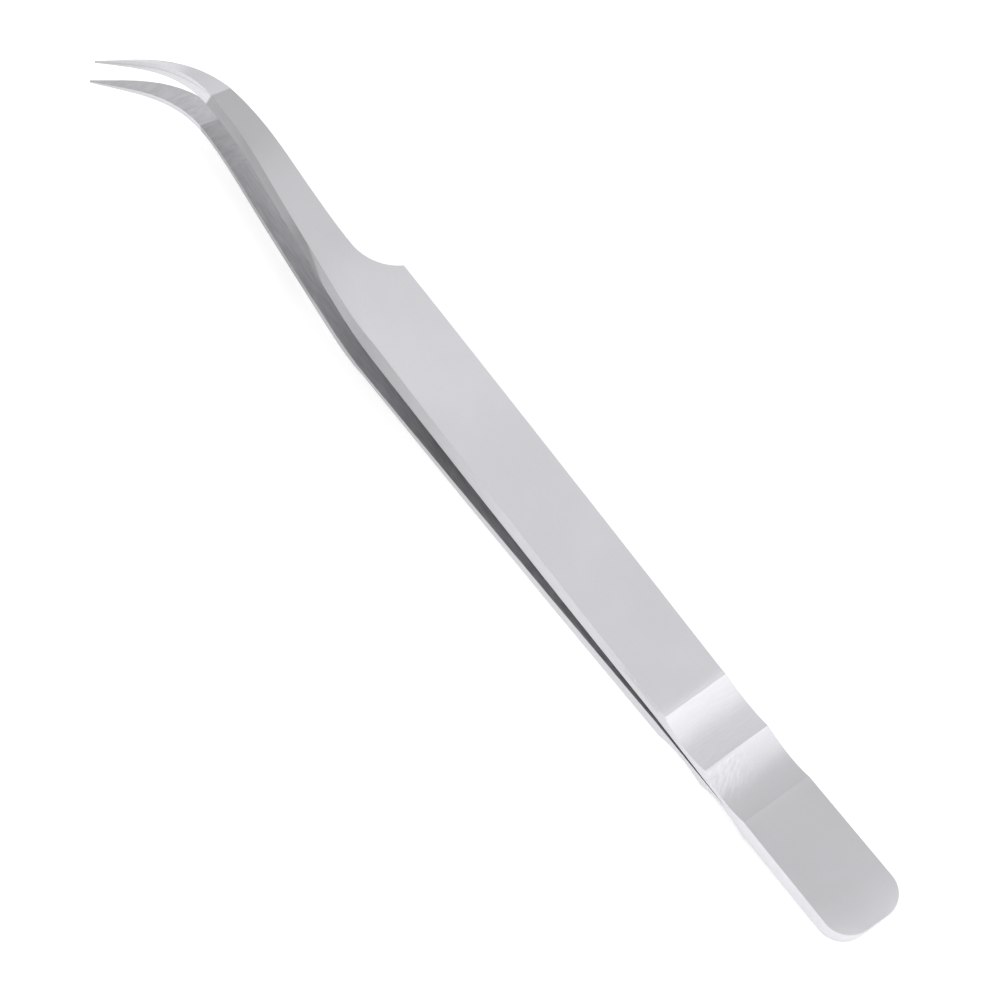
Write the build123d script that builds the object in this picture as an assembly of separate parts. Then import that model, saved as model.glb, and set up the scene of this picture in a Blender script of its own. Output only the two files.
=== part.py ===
from build123d import *
import os
from math import asin, atan2, cos, degrees, hypot, pi

# Curved precision tweezers: two ground steel arms, welded face to face at the butt end.
# Sizes are in millimetres. X runs from the butt end to the tips, and the tips curve to +Y.
# Each arm is made as the upper one, with the joint plane between the arms at Z = 0.
# At the end both arms are turned to lie as they rest on a table, with the tips raised.

# Lengths along the tweezers
overall_length = 120.0
tip_length = 11.0
neck_length = 31.0
weld_length = 19.0
butt_length = 15.0
blade_start_x = 31.0

# The blade, which is widest on its inner face by the neck
blade_width = 8.8
blade_thickness = 2.4
opening_rise = 0.0458

# The butt plate, whose end wall leans in from the upper arm's outer face downwards
butt_back_inset = 0.15
butt_front_inset = -0.09
butt_corner_radius = 3.1
butt_thickness = 1.7
end_lean = 0.18

# How far each side stands in from half the blade's width at the waist and the blade's foot
waist_inset = 0.13
foot_inset = 0.22

# How far the outer edge of each side wall leans in, at the blade's foot and by the neck
foot_back_lean = 0.03
foot_front_lean = 0.4
blade_back_lean = 0.45
blade_front_lean = 0.6

# The two hollows that a grinding wheel leaves, with a ridge between them
wheel_radius = 6.0
blade_hollow_x = 26.1
blade_hollow_height = 1.5
butt_hollow_x = 19.5
butt_hollow_height = 0.95

# The shoulder, where the front side steps in to the neck
shoulder_length = 10.6
shoulder_radius = 6.0
neck_front_y = -0.82
neck_front_start = 11.8
neck_bevel = 0.33

# The neck, with the distances of its places from the start of the tip
slope_y = 3.52
slope_distance = 21.0
back_y = 2.25
back_distance = 11.0
narrow_y = -1.84
narrow_distance = 5.5
narrow_slope = 0.2
bow_distance = 7.5

# The start of the tip, where its facets begin
facet_back_y = 1.24
facet_front_y = -1.55
facet_thickness = 2.12
facet_height = 3.3
facet_bevel = 0.35
front_wall_share = 0.4

# The point of the tip, and the place that its curve passes halfway
point_y = 7.55
point_height = 2.85
point_size = 0.17
point_heading = 50
tip_start_slope = 0.09
halfway_distance = 6.9
halfway_y = 2.94

# The rounding of the outer edges
edge_rounding = 0.12

# How far the blade's stock runs past the shoulder before the neck replaces it
stock_overrun = 3.0

# How steep a face may lean and still count as an outer face, or as a side wall
outer_least_slope = 0.6
wall_most_slope = 0.4

# How many cross-sections shape the neck and the tip
neck_sections = 7
tip_sections = 7

facet_start_x = overall_length - tip_length
bow_x = facet_start_x - bow_distance
neck_start_x = facet_start_x - neck_length
shoulder_end_x = neck_start_x + shoulder_length
stock_end_x = shoulder_end_x + stock_overrun


def inner_height(x):
    """Height of the arm's inner face over the joint plane, up to the facets."""
    if x <= weld_length:
        return 0.0
    if x <= bow_x:
        return opening_rise * (x - weld_length)
    bow_height = opening_rise * (bow_x - weld_length)
    share = min((x - bow_x) / bow_distance, 1)
    return bow_height + (facet_height - bow_height) * (1 - cos(pi * share)) / 2


def thickness(x):
    """The blade's thickness, ground down along the neck."""
    share = max(0, min((x - neck_start_x) / neck_length, 1))
    return blade_thickness + (facet_thickness - blade_thickness) * (1 - (1 - share) ** 2)


def outer_height(x):
    """Height of the arm's outer face over the joint plane."""
    return inner_height(x) + thickness(x)


def wall_place(x, level, inner_y, outer_y):
    """Where a leaning side wall stands at a level, from its inner and outer edge."""
    lean = (outer_y - inner_y) / thickness(x)
    return inner_y + lean * (level - inner_height(x))


def shoulder_arc(front_y, corner_y):
    """The hollow arc from the neck's front side back to the blade's front corner."""
    centre_y = neck_front_y - shoulder_radius
    radius = front_y - centre_y
    sweep = 90 - degrees(asin((corner_y - centre_y) / radius))
    return CenterArc((shoulder_end_x, centre_y), radius, 90, sweep)


def side_distances(level, foot_lean, blade_lean):
    """How far out a side wall stands at a level, at the blade's foot and by the neck."""
    blade = blade_width / 2
    foot = blade - foot_inset
    at_foot = wall_place(blade_start_x, level, foot, foot - foot_lean)
    by_neck = wall_place(neck_start_x, level, blade, blade - blade_lean)
    return at_foot, by_neck


def outline(level, end_x):
    """The outline of the butt plate and the blade at a level, with its end at end_x."""
    foot_back, blade_back = side_distances(level, foot_back_lean, blade_back_lean)
    foot_front, blade_front = side_distances(level, foot_front_lean, blade_front_lean)
    waist = blade_width / 2 - waist_inset
    butt_back = blade_width / 2 - butt_back_inset
    butt_front = blade_width / 2 - butt_front_inset
    spread = (blade_back - foot_back) / (neck_start_x - blade_start_x)
    end_back = foot_back + spread * (stock_end_x - blade_start_x)
    front_y = wall_place(shoulder_end_x, level, neck_front_y - neck_bevel, neck_front_y)
    shoulder = shoulder_arc(front_y, -blade_front)
    corner_x = end_x + butt_corner_radius
    back_corner_y = butt_back - butt_corner_radius
    front_corner_y = butt_corner_radius - butt_front
    back_side = [
        (corner_x, butt_back),
        (butt_length, waist),
        (blade_start_x, foot_back),
        (stock_end_x, end_back),
        (stock_end_x, front_y),
        (shoulder_end_x, front_y),
    ]
    front_side = [
        shoulder @ 1,
        (blade_start_x, -foot_front),
        (butt_length, -waist),
        (corner_x, -butt_front),
    ]
    edges = Curve() + [
        Line((end_x, front_corner_y), (end_x, back_corner_y)),
        CenterArc((corner_x, back_corner_y), butt_corner_radius, 180, -90),
        Polyline(*back_side),
        shoulder,
        Polyline(*front_side),
        CenterArc((corner_x, front_corner_y), butt_corner_radius, 270, -90),
    ]
    return Pos(0, 0, level) * make_face(edges)


def side_profile():
    """The blade and its butt plate seen from the side, before the hollows are ground."""
    rise = (outer_height(shoulder_end_x) - outer_height(neck_start_x)) / shoulder_length
    step_height = blade_thickness + opening_rise * (butt_hollow_x - weld_length)
    points = [
        (-butt_length, 0),
        (weld_length, 0),
        (stock_end_x, inner_height(stock_end_x)),
        (stock_end_x, outer_height(neck_start_x) + rise * (stock_end_x - neck_start_x)),
        (neck_start_x, outer_height(neck_start_x)),
        (butt_hollow_x, step_height),
        (butt_hollow_x, butt_thickness),
        (-butt_length, butt_thickness),
    ]
    return make_face(Plane.XZ * Polyline(*points, close=True))


def grind(x, height):
    """What the grinding wheel takes away, with its lowest place at x and height."""
    wheel = Cylinder(wheel_radius, 2 * blade_width, rotation=(90, 0, 0))
    return Pos(x, 0, height + wheel_radius) * wheel


def blade_with_butt(lean):
    """The butt plate, the hollows, the blade and the shoulder. The end wall has this lean."""
    top = outer_height(bow_x)
    joint_end_x = end_lean * butt_thickness
    stock = loft([outline(0, joint_end_x), outline(top, joint_end_x - lean * top)], ruled=True)
    shaped = stock & extrude(side_profile(), amount=blade_width, both=True)
    shaped -= grind(blade_hollow_x, blade_hollow_height)
    shaped -= grind(butt_hollow_x, butt_hollow_height)
    return shaped


def cross_section(back, front, back_inset, front_inset, heights):
    """A four-sided section between two inner corners, with its outer corners set in."""
    across = (front - back).normalized()
    places = (back, front, front - across * front_inset, back + across * back_inset)
    corners = [(place.X, place.Y, height(place.X)) for place, height in zip(places, heights)]
    return make_face(Polyline(*corners, close=True))


def neck(start):
    """The neck, from the blade's slanting end face to where the tip facets begin."""
    back_edge = Spline(
        (neck_start_x, blade_width / 2),
        (facet_start_x - slope_distance, slope_y),
        (facet_start_x - back_distance, back_y),
        (facet_start_x, facet_back_y),
        tangents=[(1, 0), (1, 0)],
    )
    front_edge = Spline(
        (neck_start_x + neck_front_start, neck_front_y - neck_bevel),
        (facet_start_x - narrow_distance, narrow_y),
        (facet_start_x, facet_front_y),
        tangents=[(1, 0), (1, narrow_slope)],
    )
    heights = (inner_height, inner_height, outer_height, outer_height)
    sections = [start]
    for index in range(1, neck_sections + 1):
        back = back_edge @ (index / neck_sections)
        front = front_edge @ (index / neck_sections)
        inset = neck_bevel * (front - back).length / abs(front.Y - back.Y)
        sections.append(cross_section(back, front, inset, inset, heights))
    return loft(sections)


def tip(start):
    """The curved tip, with two facets that meet in a ridge and run out to the point."""
    centre_line = Spline(
        (facet_start_x, (facet_back_y + facet_front_y) / 2),
        (facet_start_x + halfway_distance, halfway_y),
        (overall_length, point_y),
        tangents=[(1, tip_start_slope), Vector(1, 0).rotate(Axis.Z, point_heading)],
    )
    start_width = facet_back_y - facet_front_y
    sections = [start]
    for index in range(1, tip_sections + 1):
        share = index / tip_sections
        left = 1 - share**3
        width = point_size + (start_width - point_size) * (1 - share)
        place = centre_line @ share
        side = (centre_line % share).rotate(Axis.Z, 90) * (width / 2)
        floor = point_height + (facet_height - point_height) * left
        ridge = floor + point_size + (facet_thickness - point_size) * left
        wall_share = front_wall_share + (1 - front_wall_share) * (1 - share) ** 3
        wall = floor + (ridge - floor) * wall_share
        heights = [lambda x, level=level: level for level in (floor, floor, wall, ridge)]
        insets = (facet_bevel * left, neck_bevel * left)
        sections.append(cross_section(place + side, place - side, *insets, heights))
    return loft(sections)


def end_face(solid, plane):
    """The solid's face that lies in a plane."""
    return solid.faces().filter_by(plane).sort_by_distance(plane.origin)[0]


def outer_edges(arm):
    """The edges between the outer faces and the side walls, up to the tip facets."""
    outer = ShapeList()
    walls = ShapeList()
    for face in arm.faces():
        slope = face.normal_at().Z
        if slope > outer_least_slope:
            outer += face.edges()
        elif abs(slope) < wall_most_slope:
            walls += face.edges()
    edges = [edge for edge in outer & walls if edge.center().X < facet_start_x]
    return sorted(edges, key=lambda edge: (edge.center().X, edge.center().Y))


def whole_arm(lean):
    """One arm above the joint plane, with this lean on its end wall."""
    back = Vector(neck_start_x, blade_width / 2)
    front = Vector(neck_start_x + neck_front_start, neck_front_y - neck_bevel)
    across = front - back
    slant = Plane(origin=back, x_dir=across, z_dir=across.rotate(Axis.Z, 90))
    blade_piece = split(blade_with_butt(lean), bisect_by=slant, keep=Keep.BOTTOM)
    neck_piece = neck(end_face(blade_piece, slant))
    crease = Plane(origin=(facet_start_x, 0, 0), z_dir=(1, 0, 0))
    tip_piece = tip(end_face(neck_piece, crease))
    arm = blade_piece + neck_piece + tip_piece
    return arm.fillet(edge_rounding, outer_edges(arm))


def rest_angle():
    """How far the tips rise when the lower arm lies on its butt end and its blade."""
    end_x = 2 * end_lean * butt_thickness
    places = (blade_start_x, neck_start_x, bow_x)
    return max(degrees(atan2(outer_height(x) - butt_thickness, x - end_x)) for x in places)


def main():
    turn = Rot(0, -rest_angle(), 0)
    arms = {
        "upper_arm": turn * whole_arm(end_lean),
        "lower_arm": turn * mirror(whole_arm(-end_lean), about=Plane.XY),
    }
    box = Compound(list(arms.values())).bounding_box()
    shift = Pos(-box.center().X, -box.center().Y, -box.min.Z)
    os.makedirs("parts", exist_ok=True)
    for name, arm in arms.items():
        export_step(shift * arm, f"parts/{name}.step")


main()
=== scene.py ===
# %% [markdown]
# Curved precision tweezers of satin stainless steel, lying on a white table.
# Both arms are already modelled exactly, as solids, so their shape is loaded as a frame.
# This lesson gives them what makes steel look like ground steel: crisp edges between soft
# faces, grinding lines, regions that were finished on different wheels, reflections and shade
# painted into the steel's colour along each face, and a bright room that shows in the metal.

# %% Load the frame
import math

import bpy
from mathutils import Matrix, Vector

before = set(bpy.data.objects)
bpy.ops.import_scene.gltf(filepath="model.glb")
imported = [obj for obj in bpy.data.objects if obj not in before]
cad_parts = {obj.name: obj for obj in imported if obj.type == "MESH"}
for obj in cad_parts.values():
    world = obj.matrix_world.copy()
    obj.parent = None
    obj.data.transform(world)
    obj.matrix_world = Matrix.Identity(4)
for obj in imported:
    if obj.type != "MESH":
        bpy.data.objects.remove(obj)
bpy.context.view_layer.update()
arms = [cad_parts["upper_arm"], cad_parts["lower_arm"]]
for arm in arms:
    print(arm.name, len(arm.data.polygons), "faces")

# %% [markdown]
# The curved faces of the real arms run smoothly, and meet in crisp ground edges.
# The frame's meshes are loose triangles, so light would break at every one of them.
# A Weld modifier joins them, and an Edge Split modifier keeps only the true edges sharp.
# Modifiers are used because they leave the loaded mesh itself as it is.

# %% Smooth the curved faces, keep the edges
WELD_DISTANCE = 1e-6
SHARP_ANGLE = math.radians(25)


def smooth_by_angle(arm):
    for polygon in arm.data.polygons:
        polygon.use_smooth = True
    weld = arm.modifiers.new("join_triangles", "WELD")
    weld.merge_threshold = WELD_DISTANCE
    split = arm.modifiers.new("keep_edges", "EDGE_SPLIT")
    split.split_angle = SHARP_ANGLE


for arm in arms:
    smooth_by_angle(arm)
print("smoothed", len(arms), "arms below", round(math.degrees(SHARP_ANGLE)), "degrees")

# %% [markdown]
# A node tree is easier to read when each link is one short call. An input takes either a
# number or the output of another node, so the first helper decides which of the two it got.
# The others add a node with its options, calculate, and mix two values.

# %% Helpers that add nodes
MIX_FACTOR, MIX_NUMBERS, MIX_COLORS = 0, (2, 3), (6, 7)


def feed(tree, socket, value):
    """Gives an input a number, or links another node's output to it."""
    if isinstance(value, (int, float)):
        socket.default_value = value
    else:
        tree.links.new(value, socket)


def add_node(tree, kind, **options):
    node = tree.nodes.new(kind)
    for name, option in options.items():
        setattr(node, name, option)
    return node


def calculate(tree, operation, *values, clamp=False):
    """A Math node. Returns its output."""
    node = add_node(tree, "ShaderNodeMath", operation=operation, use_clamp=clamp)
    for socket, value in zip(node.inputs, values):
        feed(tree, socket, value)
    return node.outputs[0]


def blend_value(tree, factor, first, second):
    """Goes from first to second while factor goes from 0 to 1."""
    node = add_node(tree, "ShaderNodeMix", data_type="FLOAT")
    for index, value in zip((MIX_FACTOR, *MIX_NUMBERS), (factor, first, second)):
        feed(tree, node.inputs[index], value)
    return node.outputs[0]


print("a number mix reads inputs", (MIX_FACTOR, *MIX_NUMBERS))

# %% [markdown]
# Where one finish ends and the next begins is a ramp along a measure: short and steep at a
# ground edge, long where one wheel fades into another. How bright the steel is from place
# to place is a line through a few points, like a graph, and a Color Ramp holds the points.

# %% Helpers that ramp a measure
RAMP_INPUTS = ("Value", "From Min", "From Max", "To Min", "To Max")


def ramp_between(tree, value, start, end, low=0.0, high=1.0, smooth=True):
    """Goes from low to high while value goes from start to end."""
    kind = "SMOOTHSTEP" if smooth else "LINEAR"
    node = add_node(tree, "ShaderNodeMapRange", interpolation_type=kind)
    for name, number in zip(RAMP_INPUTS, (value, start, end, low, high)):
        feed(tree, node.inputs[name], number)
    return node.outputs["Result"]


def levels_along(tree, value, points):
    """Goes through points of place and level in straight steps, like a line in a graph."""
    first, last = points[0][0], points[-1][0]
    ramp = add_node(tree, "ShaderNodeValToRGB")
    ramp.color_ramp.interpolation = "LINEAR"
    stops = ramp.color_ramp.elements
    while len(stops) < len(points):
        stops.new(0.5)
    for stop, (place, level) in zip(stops, points):
        stop.position = (place - first) / (last - first)
        stop.color = (level, level, level, 1)
    tree.links.new(ramp_between(tree, value, first, last, smooth=False), ramp.inputs[0])
    return ramp.outputs["Color"]


print("a ramp reads", RAMP_INPUTS)

# %% [markdown]
# What is needed more than once becomes a node group with named inputs and outputs. It is
# built once and placed where it is used, each time with its own values.

# %% Helpers for node groups
def new_group(name, inputs, outputs):
    """Makes a group whose sockets are pairs of name and kind. Returns it and its two ends."""
    group = bpy.data.node_groups.new(name, "ShaderNodeTree")
    for direction, sockets in (("INPUT", inputs), ("OUTPUT", outputs)):
        for socket_name, kind in sockets:
            socket_type = "NodeSocket" + kind
            group.interface.new_socket(socket_name, in_out=direction, socket_type=socket_type)
    return group, group.nodes.new("NodeGroupInput"), group.nodes.new("NodeGroupOutput")


def use_group(tree, group, values):
    """Places a group in a tree, with values for its named inputs."""
    node = add_node(tree, "ShaderNodeGroup", node_tree=group)
    for name, value in values.items():
        feed(tree, node.inputs[name], value)
    return node


def add_noise(tree, place, scale, detail, roughness=0.5):
    """Noise over a place. Returns its strength from 0 to 1."""
    node = add_node(tree, "ShaderNodeTexNoise", noise_dimensions="3D")
    node.inputs["Scale"].default_value = scale
    node.inputs["Detail"].default_value = detail
    node.inputs["Roughness"].default_value = roughness
    tree.links.new(place, node.inputs["Vector"])
    return node.outputs["Fac"]


print("groups before the steel:", len(bpy.data.node_groups))

# %% [markdown]
# Where the steel lies on the arm decides how it was ground. The first group turns a point
# into the arm's own measures in millimetres: how far it is from the butt end, how far to
# the side, and how far from the joint between the arms. The tweezers lie with their tips
# raised, so the point is turned back first. Facing is 1 on an outer face, -1 on an inner
# face and near 0 on a side wall. It comes from the normal, because a mask by place alone
# would not know which face of the thin blade it is on.

# %% The arm's own measures
MM = 1000.0
REST_ANGLE = math.radians(2.5173)
BUTT_END = Vector((-0.0600157, -0.0015573, 0.0016733))


def turn_to_arm(tree, vector):
    """Turns a vector from the table's axes to the arm's."""
    turned = add_node(tree, "ShaderNodeVectorRotate", rotation_type="Y_AXIS")
    turned.inputs["Angle"].default_value = REST_ANGLE
    tree.links.new(vector, turned.inputs["Vector"])
    return turned.outputs[0]


def separate(tree, vector):
    """Splits a vector into its X, Y and Z."""
    parts = add_node(tree, "ShaderNodeSeparateXYZ")
    tree.links.new(vector, parts.inputs[0])
    return parts.outputs


def build_arm_measures():
    numbers = [(name, "Float") for name in ("Length", "Side", "Height", "Facing")]
    group, entry, leave = new_group(
        "arm_measures",
        [("Position", "Vector"), ("Normal", "Vector")],
        [*numbers, ("Place", "Vector")],
    )
    from_butt = add_node(group, "ShaderNodeVectorMath", operation="SUBTRACT")
    from_butt.inputs[1].default_value = BUTT_END
    group.links.new(entry.outputs["Position"], from_butt.inputs[0])
    scaled = add_node(group, "ShaderNodeVectorMath", operation="SCALE")
    scaled.inputs["Scale"].default_value = MM
    group.links.new(turn_to_arm(group, from_butt.outputs[0]), scaled.inputs[0])
    along, aside, above = separate(group, scaled.outputs[0])
    normal_height = separate(group, turn_to_arm(group, entry.outputs["Normal"]))["Z"]
    side_of_joint = calculate(group, "SIGN", above)
    results = {
        "Length": along,
        "Side": aside,
        "Height": calculate(group, "ABSOLUTE", above),
        "Facing": calculate(group, "MULTIPLY", normal_height, side_of_joint),
        "Place": scaled.outputs[0],
    }
    for name, result in results.items():
        group.links.new(result, leave.inputs[name])
    return group


arm_measures = build_arm_measures()
print("arm_measures has", [item.name for item in arm_measures.interface.items_tree])

# %% [markdown]
# A grinding wheel leaves fine parallel lines. They are noise that is squeezed along one
# direction and stretched along the other. The group takes the direction as an angle from
# the arm's length, so that one pattern serves lengthwise, crosswise and slanting lines.
# A picture of scratches would do as well, but it would have to be unwrapped on each face.

# %% Grinding lines
LINE_DETAIL = 3.0
LINE_BREAKUP = 0.6


def build_grinding_lines():
    numbers = [(name, "Float") for name in ("Angle", "Lines per mm", "Stretch")]
    group, entry, leave = new_group(
        "grinding_lines", [("Place", "Vector"), *numbers], [("Lines", "Float")]
    )
    turned = add_node(group, "ShaderNodeVectorRotate", rotation_type="Z_AXIS")
    group.links.new(entry.outputs["Place"], turned.inputs["Vector"])
    group.links.new(entry.outputs["Angle"], turned.inputs["Angle"])
    density = entry.outputs["Lines per mm"]
    parts = separate(group, turned.outputs[0])
    along, across, above = (calculate(group, "MULTIPLY", part, density) for part in parts)
    along = calculate(group, "DIVIDE", along, entry.outputs["Stretch"])
    squeezed = add_node(group, "ShaderNodeCombineXYZ")
    for socket, value in zip(squeezed.inputs, (along, across, above)):
        group.links.new(value, socket)
    lines = add_noise(
        group, squeezed.outputs[0], scale=1.0, detail=LINE_DETAIL, roughness=LINE_BREAKUP
    )
    group.links.new(lines, leave.inputs["Lines"])
    return group


grinding_lines = build_grinding_lines()
print("grinding_lines has", [item.name for item in grinding_lines.interface.items_tree])

# %% [markdown]
# Each arm is ground from one piece of steel, so both are one material. A material for each
# face would show a hard line wherever two finishes fade into each other. The material is
# built up in the next cells, and starts with the measures of the point that is shaded.

# %% The satin steel
satin_steel = bpy.data.materials.new("satin_steel")
satin_steel.use_nodes = True
steel = satin_steel.node_tree
steel_shader = steel.nodes["Principled BSDF"]
steel_shader.inputs["Metallic"].default_value = 1.0
steel_point = add_node(steel, "ShaderNodeTexCoord").outputs
measured = use_group(
    steel, arm_measures, {"Position": steel_point["Object"], "Normal": steel_point["Normal"]}
).outputs
place, length, side = measured["Place"], measured["Length"], measured["Side"]
height, facing = measured["Height"], measured["Facing"]
print("measures of the steel:", [output.name for output in measured])

# %% [markdown]
# The first masks tell the faces apart. The outer and inner faces are found by how they face.
# The facets of the tip begin at a crease that crosses the neck at a slant. On the side walls,
# level with the shoulder, a wedge of painted shade darkens the place where the blade's wall
# gives way to the neck's. A mask with a slanting edge draws both. All places are millimetres
# from the butt end.

# %% Masks of the faces
OUTER_FACING = (0.5, 0.8)
INNER_FACING = (-0.6, -0.8)
CREASE = (109.15, 109.45)
CREASE_SLANT = 0.25
# Where the painted shade of the wedge lies on the side walls, and where it fades out.
SHADE_WEDGE_START = (82.1, 83.3)
SHADE_WEDGE_SLANT = 1.5
SHADE_WEDGE_FADE = (96, 92)


def slanting_edge(measure, slant, edge):
    """A mask that begins at an edge along the arm which slants with another measure."""
    lag = calculate(steel, "MULTIPLY", measure, slant)
    return ramp_between(steel, calculate(steel, "SUBTRACT", length, lag), *edge)


outer = ramp_between(steel, facing, *OUTER_FACING)
inner = ramp_between(steel, facing, *INNER_FACING)
tip = slanting_edge(side, CREASE_SLANT, CREASE)
shade_wedge = slanting_edge(height, SHADE_WEDGE_SLANT, SHADE_WEDGE_START)
shade_wedge = calculate(steel, "MULTIPLY", shade_wedge, ramp_between(steel, length, *SHADE_WEDGE_FADE))
print("the tip's facets begin", CREASE[0], "mm from the butt end")

# %% [markdown]
# The butt end has two hollows that a wheel cut across it, with other marks than the flat
# faces have: fine straight ones in the hollow by the blade, and slanting ripples in the
# hollow by the butt plate, which fade towards one side. The inner faces of the tips carry
# marks across them.

# %% Masks of the wheel marks
BLADE_HOLLOW_START, BLADE_HOLLOW_END = (22.8, 23.2), (31, 30.5)
BUTT_HOLLOW_START, BUTT_HOLLOW_END = (17.5, 21), (23.2, 22.8)
RIPPLE_SIDES = (-1.5, 1.5)
RIPPLE_LEAST = 0.25
CROSS_MARKS_START = (101, 106)


def between(start, end):
    """A mask of a stretch along the arm, with a ramp at each of its ends."""
    ramps = (ramp_between(steel, length, *edge) for edge in (start, end))
    return calculate(steel, "MULTIPLY", *ramps)


in_blade_hollow = between(BLADE_HOLLOW_START, BLADE_HOLLOW_END)
in_butt_hollow = between(BUTT_HOLLOW_START, BUTT_HOLLOW_END)
towards_back = ramp_between(steel, side, *RIPPLE_SIDES, low=RIPPLE_LEAST)
rippled = calculate(steel, "MULTIPLY", in_butt_hollow, towards_back)
near_tips = ramp_between(steel, length, *CROSS_MARKS_START)
cross_marked = calculate(steel, "MULTIPLY", inner, near_tips)
print("the hollows end", BLADE_HOLLOW_END[0], "mm from the butt end")

# %% [markdown]
# How bright each face is changes along the arm. These levels are painted light: reflections
# and shade on each face, the bright hollows by the butt among them, painted into the steel's
# colour. Each graph holds pairs of millimetres from the butt end and brightness, and was
# tuned until the render agreed with the real steel there. More lamps could do the same
# from one side, but then it would be gone from any other.

# %% Painted light along the blade and neck
OUTER_PAINTED_LIGHT = [
    (0, 0.68), (2.5, 0.63), (5, 0.59), (12, 0.57), (16, 0.58), (19, 0.62), (20.5, 0.67),
    (22.9, 0.69), (23.3, 0.7), (26, 0.715), (28, 0.735), (30.3, 0.745), (30.8, 0.665),
    (38, 0.665), (48, 0.68), (58, 0.68), (80, 0.71), (86, 0.675), (90, 0.63), (98, 0.6),
    (103, 0.53), (107, 0.51), (109, 0.49),
]
SIDE_PAINTED_LIGHT = [
    (0, 0.71), (16, 0.74), (22, 0.7), (31, 0.645), (45, 0.63), (54, 0.61), (66, 0.5),
    (72, 0.43), (80, 0.38), (86, 0.4), (92, 0.34), (96, 0.3), (103.4, 0.3), (104.4, 0.32),
    (109, 0.33),
]
INNER_PAINTED_LIGHT = [
    (0, 0.5), (50, 0.52), (58, 0.5), (68, 0.42), (76, 0.5), (86, 0.46), (92, 0.45),
    (100, 0.48), (109, 0.45),
]
# The level of the painted shade in the wedge.
SHADE_WEDGE_LEVEL = 0.23

# Painted reflections and shade of the outer faces, the side walls and the inner faces.
outer_painted_light = levels_along(steel, length, OUTER_PAINTED_LIGHT)
side_painted_light = levels_along(steel, length, SIDE_PAINTED_LIGHT)
side_painted_light = blend_value(steel, shade_wedge, side_painted_light, SHADE_WEDGE_LEVEL)
inner_painted_light = levels_along(steel, length, INNER_PAINTED_LIGHT)
print("brightness at", len(OUTER_PAINTED_LIGHT + SIDE_PAINTED_LIGHT + INNER_PAINTED_LIGHT), "places before the tip")

# %% [markdown]
# The tip has facets of its own, each with its own painted light. On its side a ridge runs out
# to the point, and the facet above it is painted as bright as the outer one, but for a thin
# line of painted shade along the ridge.

# %% Painted light on the tip's facets
FACET_PAINTED_LIGHT = [(109, 0.7), (112, 0.65), (115, 0.6), (117, 0.55), (120, 0.5)]
INNER_FACET_PAINTED_LIGHT = [(109, 0.6), (113, 0.57), (117, 0.54), (120, 0.52)]
SIDE_FACET_PAINTED_LIGHT = [(109, 0.66), (112, 0.66), (115, 0.64), (117, 0.58), (120, 0.5)]
RIDGE_HEIGHTS = [(109, 5.5), (110.5, 4.9), (112.7, 4.4), (115.5, 4.0), (118, 3.4), (120, 3.0)]
RIDGE_EDGE = (-0.08, 0.08)
# Where the thin line of painted shade along the ridge lies, and how dark it is.
RIDGE_SHADE = (0.15, 0.45)
RIDGE_SHADE_LEVEL = 0.86

# Painted light of the facets above the ridge, below it and on the inner side.
facet_painted_light = levels_along(steel, length, FACET_PAINTED_LIGHT)
over_ridge = calculate(
    steel, "SUBTRACT", height, levels_along(steel, length, RIDGE_HEIGHTS)
)
above_ridge = ramp_between(steel, over_ridge, *RIDGE_EDGE)
ridge_shade = ramp_between(steel, over_ridge, *RIDGE_SHADE, low=RIDGE_SHADE_LEVEL)
above_ridge_painted_light = calculate(steel, "MULTIPLY", facet_painted_light, ridge_shade)
below_ridge_painted_light = levels_along(steel, length, SIDE_FACET_PAINTED_LIGHT)
side_facet_painted_light = blend_value(steel, above_ridge, below_ridge_painted_light, above_ridge_painted_light)
inner_facet_painted_light = levels_along(steel, length, INNER_FACET_PAINTED_LIGHT)

# Past the crease the painted light of the tip's facets takes over.
outer_painted_light = blend_value(steel, tip, outer_painted_light, facet_painted_light)
side_painted_light = blend_value(steel, tip, side_painted_light, side_facet_painted_light)
inner_painted_light = blend_value(steel, tip, inner_painted_light, inner_facet_painted_light)
# How each face faces picks its painted light.
brightness = blend_value(steel, outer, side_painted_light, outer_painted_light)
brightness = blend_value(steel, inner, brightness, inner_painted_light)
print("the ridge runs from", RIDGE_HEIGHTS[0][1], "to", RIDGE_HEIGHTS[-1][1], "mm off the joint")

# %% [markdown]
# Now the marks themselves. The side walls have long streaks, the outer faces an even satin
# without a direction, and the hollows and the inner faces of the tips have their own lines.
# Each pattern is given by its angle from the arm's length in degrees, its lines per
# millimetre, and how many times longer than wide its lines are.

# %% Patterns of the wheel marks
STREAKS = (4, 7, 20)
HOLLOW_LINES = (90, 9, 12)
RIPPLES = (52, 3.6, 6)
CROSS_LINES = (105, 3.5, 5)
SATIN_SCALE, SATIN_DETAIL = 6, 4


def wheel_marks(angle, per_mm, stretch):
    values = {
        "Place": place,
        "Angle": math.radians(angle),
        "Lines per mm": per_mm,
        "Stretch": stretch,
    }
    return use_group(steel, grinding_lines, values).outputs["Lines"]


streaks, hollow_lines, ripples, cross_lines = (
    wheel_marks(*pattern) for pattern in (STREAKS, HOLLOW_LINES, RIPPLES, CROSS_LINES)
)
satin = add_noise(steel, place, SATIN_SCALE, SATIN_DETAIL)
print("streaks, hollow lines, ripples and cross lines are placed")

# %% [markdown]
# The patterns are laid over each other from the widest region to the smallest, and each
# mask lets the next one take over. Calm says how much of a pattern is left out there: the
# outer faces are nearly even, and the inner ones show their lines most. The side walls are
# what is left where no mask takes over.

# %% Choose the marks of each region
SIDE_CALM = 0.55
regions = (  # mask, pattern, calm
    (outer, satin, 0.9),
    (inner, streaks, 0.1),
    (in_blade_hollow, hollow_lines, 0.75),
    (rippled, ripples, 0.35),
    (cross_marked, cross_lines, 0.3),
)

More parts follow.
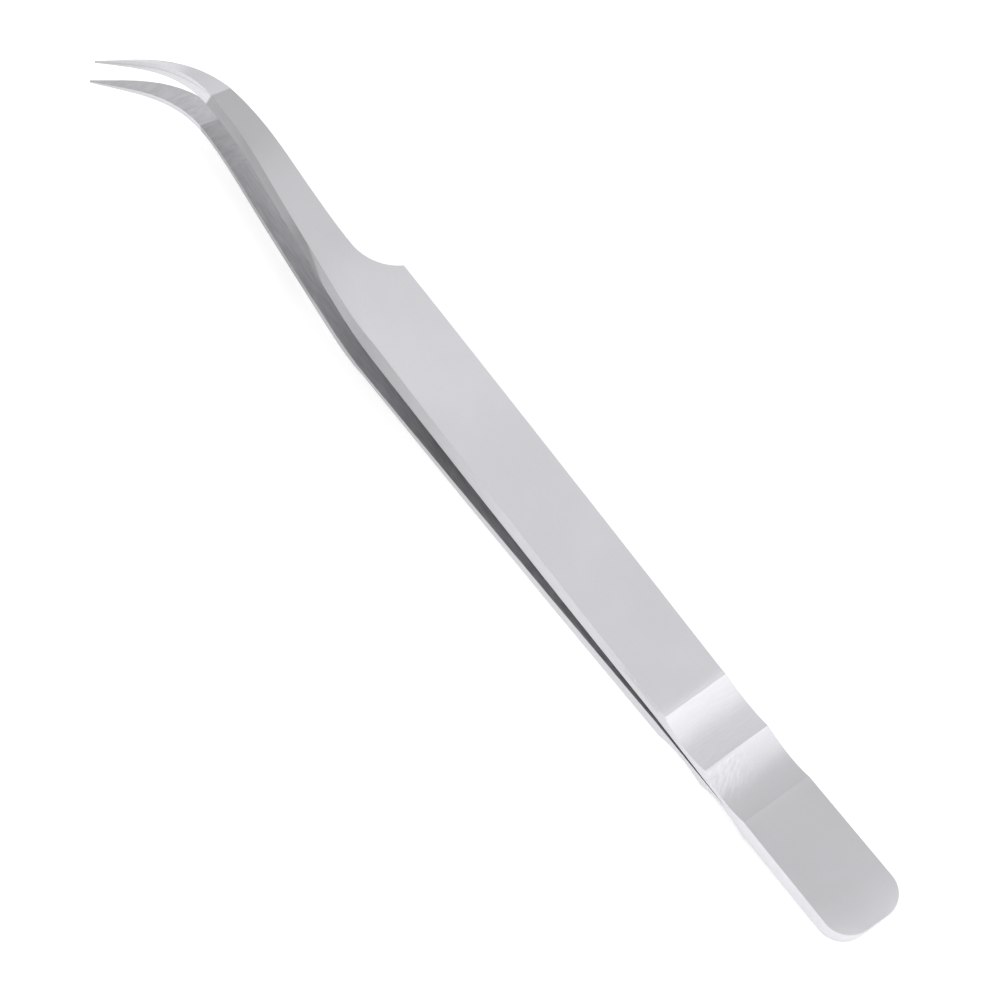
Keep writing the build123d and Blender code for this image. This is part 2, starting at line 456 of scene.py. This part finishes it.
lines, calm = streaks, SIDE_CALM
for mask, region_lines, region_calm in regions:
    lines = blend_value(steel, mask, lines, region_lines)
    calm = blend_value(steel, mask, calm, region_calm)
print(len(regions), "regions take over from the side walls' streaks")

# %% [markdown]
# The marks darken and brighten the steel a little, and faint wide clouds keep the large
# flat faces from looking printed. The steel itself is almost neutral, a little cool.

# %% The colour of the steel
STEEL_TINT = (1.0, 0.99, 1.03)
USUAL_NOISE = (0.3, 0.7)
GRAIN_RANGE = (0.88, 1.12)
CLOUD_RANGE = (0.98, 1.02)
CLOUD_SCALE, CLOUD_DETAIL = 0.12, 3

grain = ramp_between(steel, lines, *USUAL_NOISE, *GRAIN_RANGE)
grain = blend_value(steel, calm, grain, 1.0)
clouds = add_noise(steel, place, CLOUD_SCALE, CLOUD_DETAIL)
clouds = ramp_between(steel, clouds, *USUAL_NOISE, *CLOUD_RANGE)
# The painted light is multiplied by the steel's own marks and faint clouds.
brightness = calculate(steel, "MULTIPLY", brightness, grain)
brightness = calculate(steel, "MULTIPLY", brightness, clouds)
tinted = add_node(steel, "ShaderNodeMix", data_type="RGBA", blend_type="MULTIPLY")
tinted.inputs[MIX_FACTOR].default_value = 1.0
tinted.inputs[MIX_COLORS[0]].default_value = (*STEEL_TINT, 1)
steel.links.new(brightness, tinted.inputs[MIX_COLORS[1]])
steel.links.new(tinted.outputs[2], steel_shader.inputs["Base Color"])
print("marks change the brightness by up to", round(GRAIN_RANGE[1] - 1, 2))

# %% [markdown]
# The same marks also change how sharply the steel reflects and how its surface is tilted.
# They are far too fine to model, so a bump of a few hundredths of a millimetre stands for
# them. The inner faces reflect a little less sharply, because their marks are coarser.

# %% The surface of the steel
OUTSIDE_ROUGHNESS, INSIDE_ROUGHNESS = 0.34, 0.42
BUMP_STRENGTH = 0.2
BUMP_DEPTH = 2e-5

roughness = blend_value(steel, inner, OUTSIDE_ROUGHNESS, INSIDE_ROUGHNESS)
roughness = calculate(steel, "MULTIPLY", roughness, grain)
steel.links.new(roughness, steel_shader.inputs["Roughness"])
bump = add_node(steel, "ShaderNodeBump")
bump.inputs["Strength"].default_value = BUMP_STRENGTH
bump.inputs["Distance"].default_value = BUMP_DEPTH
steel.links.new(lines, bump.inputs["Height"])
steel.links.new(bump.outputs[0], steel_shader.inputs["Normal"])
for arm in arms:
    arm.material_slots[0].material = satin_steel
print("satin_steel has", len(steel.nodes), "nodes")

# %% [markdown]
# The table is a plain pale sheet. Camera and mirror rays see it a little brighter than
# the room makes it, so that it is white in the picture but still keeps the soft shadow.
# A pure white sheet would do that too, but it would lose the shadow.

# %% The table
TABLE_SIZE = 6.0
TABLE_COLOR = (0.8, 0.8, 0.8, 1)
TABLE_ROUGHNESS = 0.9
TABLE_SHINE = 0.1
TABLE_GLOW = 0.45
WHITE = (1, 1, 1, 1)


def build_table_material():
    material = bpy.data.materials.new("white_table")
    material.use_nodes = True
    tree = material.node_tree
    inputs = tree.nodes["Principled BSDF"].inputs
    inputs["Base Color"].default_value = TABLE_COLOR
    inputs["Roughness"].default_value = TABLE_ROUGHNESS
    inputs["Specular IOR Level"].default_value = TABLE_SHINE
    inputs["Emission Color"].default_value = WHITE
    ray = add_node(tree, "ShaderNodeLightPath").outputs
    seen = calculate(tree, "ADD", ray["Is Camera Ray"], ray["Is Glossy Ray"], clamp=True)
    glow = calculate(tree, "MULTIPLY", seen, TABLE_GLOW)
    tree.links.new(glow, inputs["Emission Strength"])
    return material


bpy.ops.object.select_all(action="DESELECT")
bpy.ops.mesh.primitive_plane_add(size=TABLE_SIZE, location=(0, 0, 0))
table = bpy.context.object
table.name = "table"
table.data.materials.append(build_table_material())
print("table is", TABLE_SIZE, "m wide")

# %% [markdown]
# Steel shows what is around it, and lamps would show in it as spots. So there are none, and
# the light is a soft room all round: bright on the butt's side and dimmer on the tips' side.
# Pairs of a direction along X, from -1 to 1, and a strength give it. Camera rays see it
# as plain white.

# %% The room
ROOM_LEVELS = [
    (-1, 1.4), (-0.93, 1.35), (-0.74, 1.2), (-0.3, 1.12), (0, 0.9), (0.2, 0.88), (1, 0.88),
]
WHITE_LEVEL = 1.0


def build_room():
    world = bpy.data.worlds.new("studio")
    bpy.context.scene.world = world
    world.use_nodes = True
    tree = world.node_tree
    background = tree.nodes["Background"]
    background.inputs["Color"].default_value = WHITE
    direction = add_node(tree, "ShaderNodeTexCoord").outputs["Generated"]
    room = levels_along(tree, separate(tree, direction)["X"], ROOM_LEVELS)
    ray = add_node(tree, "ShaderNodeLightPath").outputs
    level = blend_value(tree, ray["Is Camera Ray"], room, WHITE_LEVEL)
    tree.links.new(level, background.inputs["Strength"])


build_room()
print("the room goes from", ROOM_LEVELS[0][1], "by the butt to", ROOM_LEVELS[-1][1], "by the tips")

# %% [markdown]
# The picture was taken from far away with a long lens, so lines that are parallel on the
# tweezers stay parallel. Two facts fix the camera: the direction towards it, seen from
# the tweezers, and the angle at which their length runs across the picture. The lens
# follows from the distance and from how wide the picture is at the tweezers. Four metres is
# far enough for parallel lines, and near enough for other views, which step back farther.

# %% The camera
TOWARDS_CAMERA = Vector((-0.2013, 0.2777, 0.9393))
LENGTH_ANGLE = math.radians(180 + 51.107)
PICTURE_MIDDLE = Vector((0.0589, 0.0024, 0.0))
CAMERA_DISTANCE = 4.0
PICTURE_WIDTH = 0.10175
SENSOR_WIDTH = 36.0
NEAREST_SEEN, FARTHEST_SEEN = 0.1, 40


def add_camera():
    raise_tips = Matrix.Rotation(-REST_ANGLE, 4, "Y")
    back = (raise_tips @ TOWARDS_CAMERA).normalized()
    length = raise_tips @ Vector((1, 0, 0))
    length = (length - back * length.dot(back)).normalized()
    below = length.cross(back)
    right = length * math.cos(LENGTH_ANGLE) - below * math.sin(LENGTH_ANGLE)
    up = back.cross(right)
    target = raise_tips @ PICTURE_MIDDLE + BUTT_END
    data = bpy.data.cameras.new("camera")
    data.sensor_width = SENSOR_WIDTH
    data.lens = SENSOR_WIDTH * CAMERA_DISTANCE / PICTURE_WIDTH
    data.clip_start, data.clip_end = NEAREST_SEEN, FARTHEST_SEEN
    camera = bpy.data.objects.new("camera", data)
    bpy.context.scene.collection.objects.link(camera)
    turn = Matrix((right, up, back)).transposed().to_4x4()
    camera.matrix_world = Matrix.Translation(target + back * CAMERA_DISTANCE) @ turn
    bpy.context.scene.camera = camera
    print("camera looks along", [round(value, 3) for value in -back])
    print("its lens is", round(data.lens), "mm")


add_camera()
bpy.context.scene.view_settings.view_transform = "Standard"
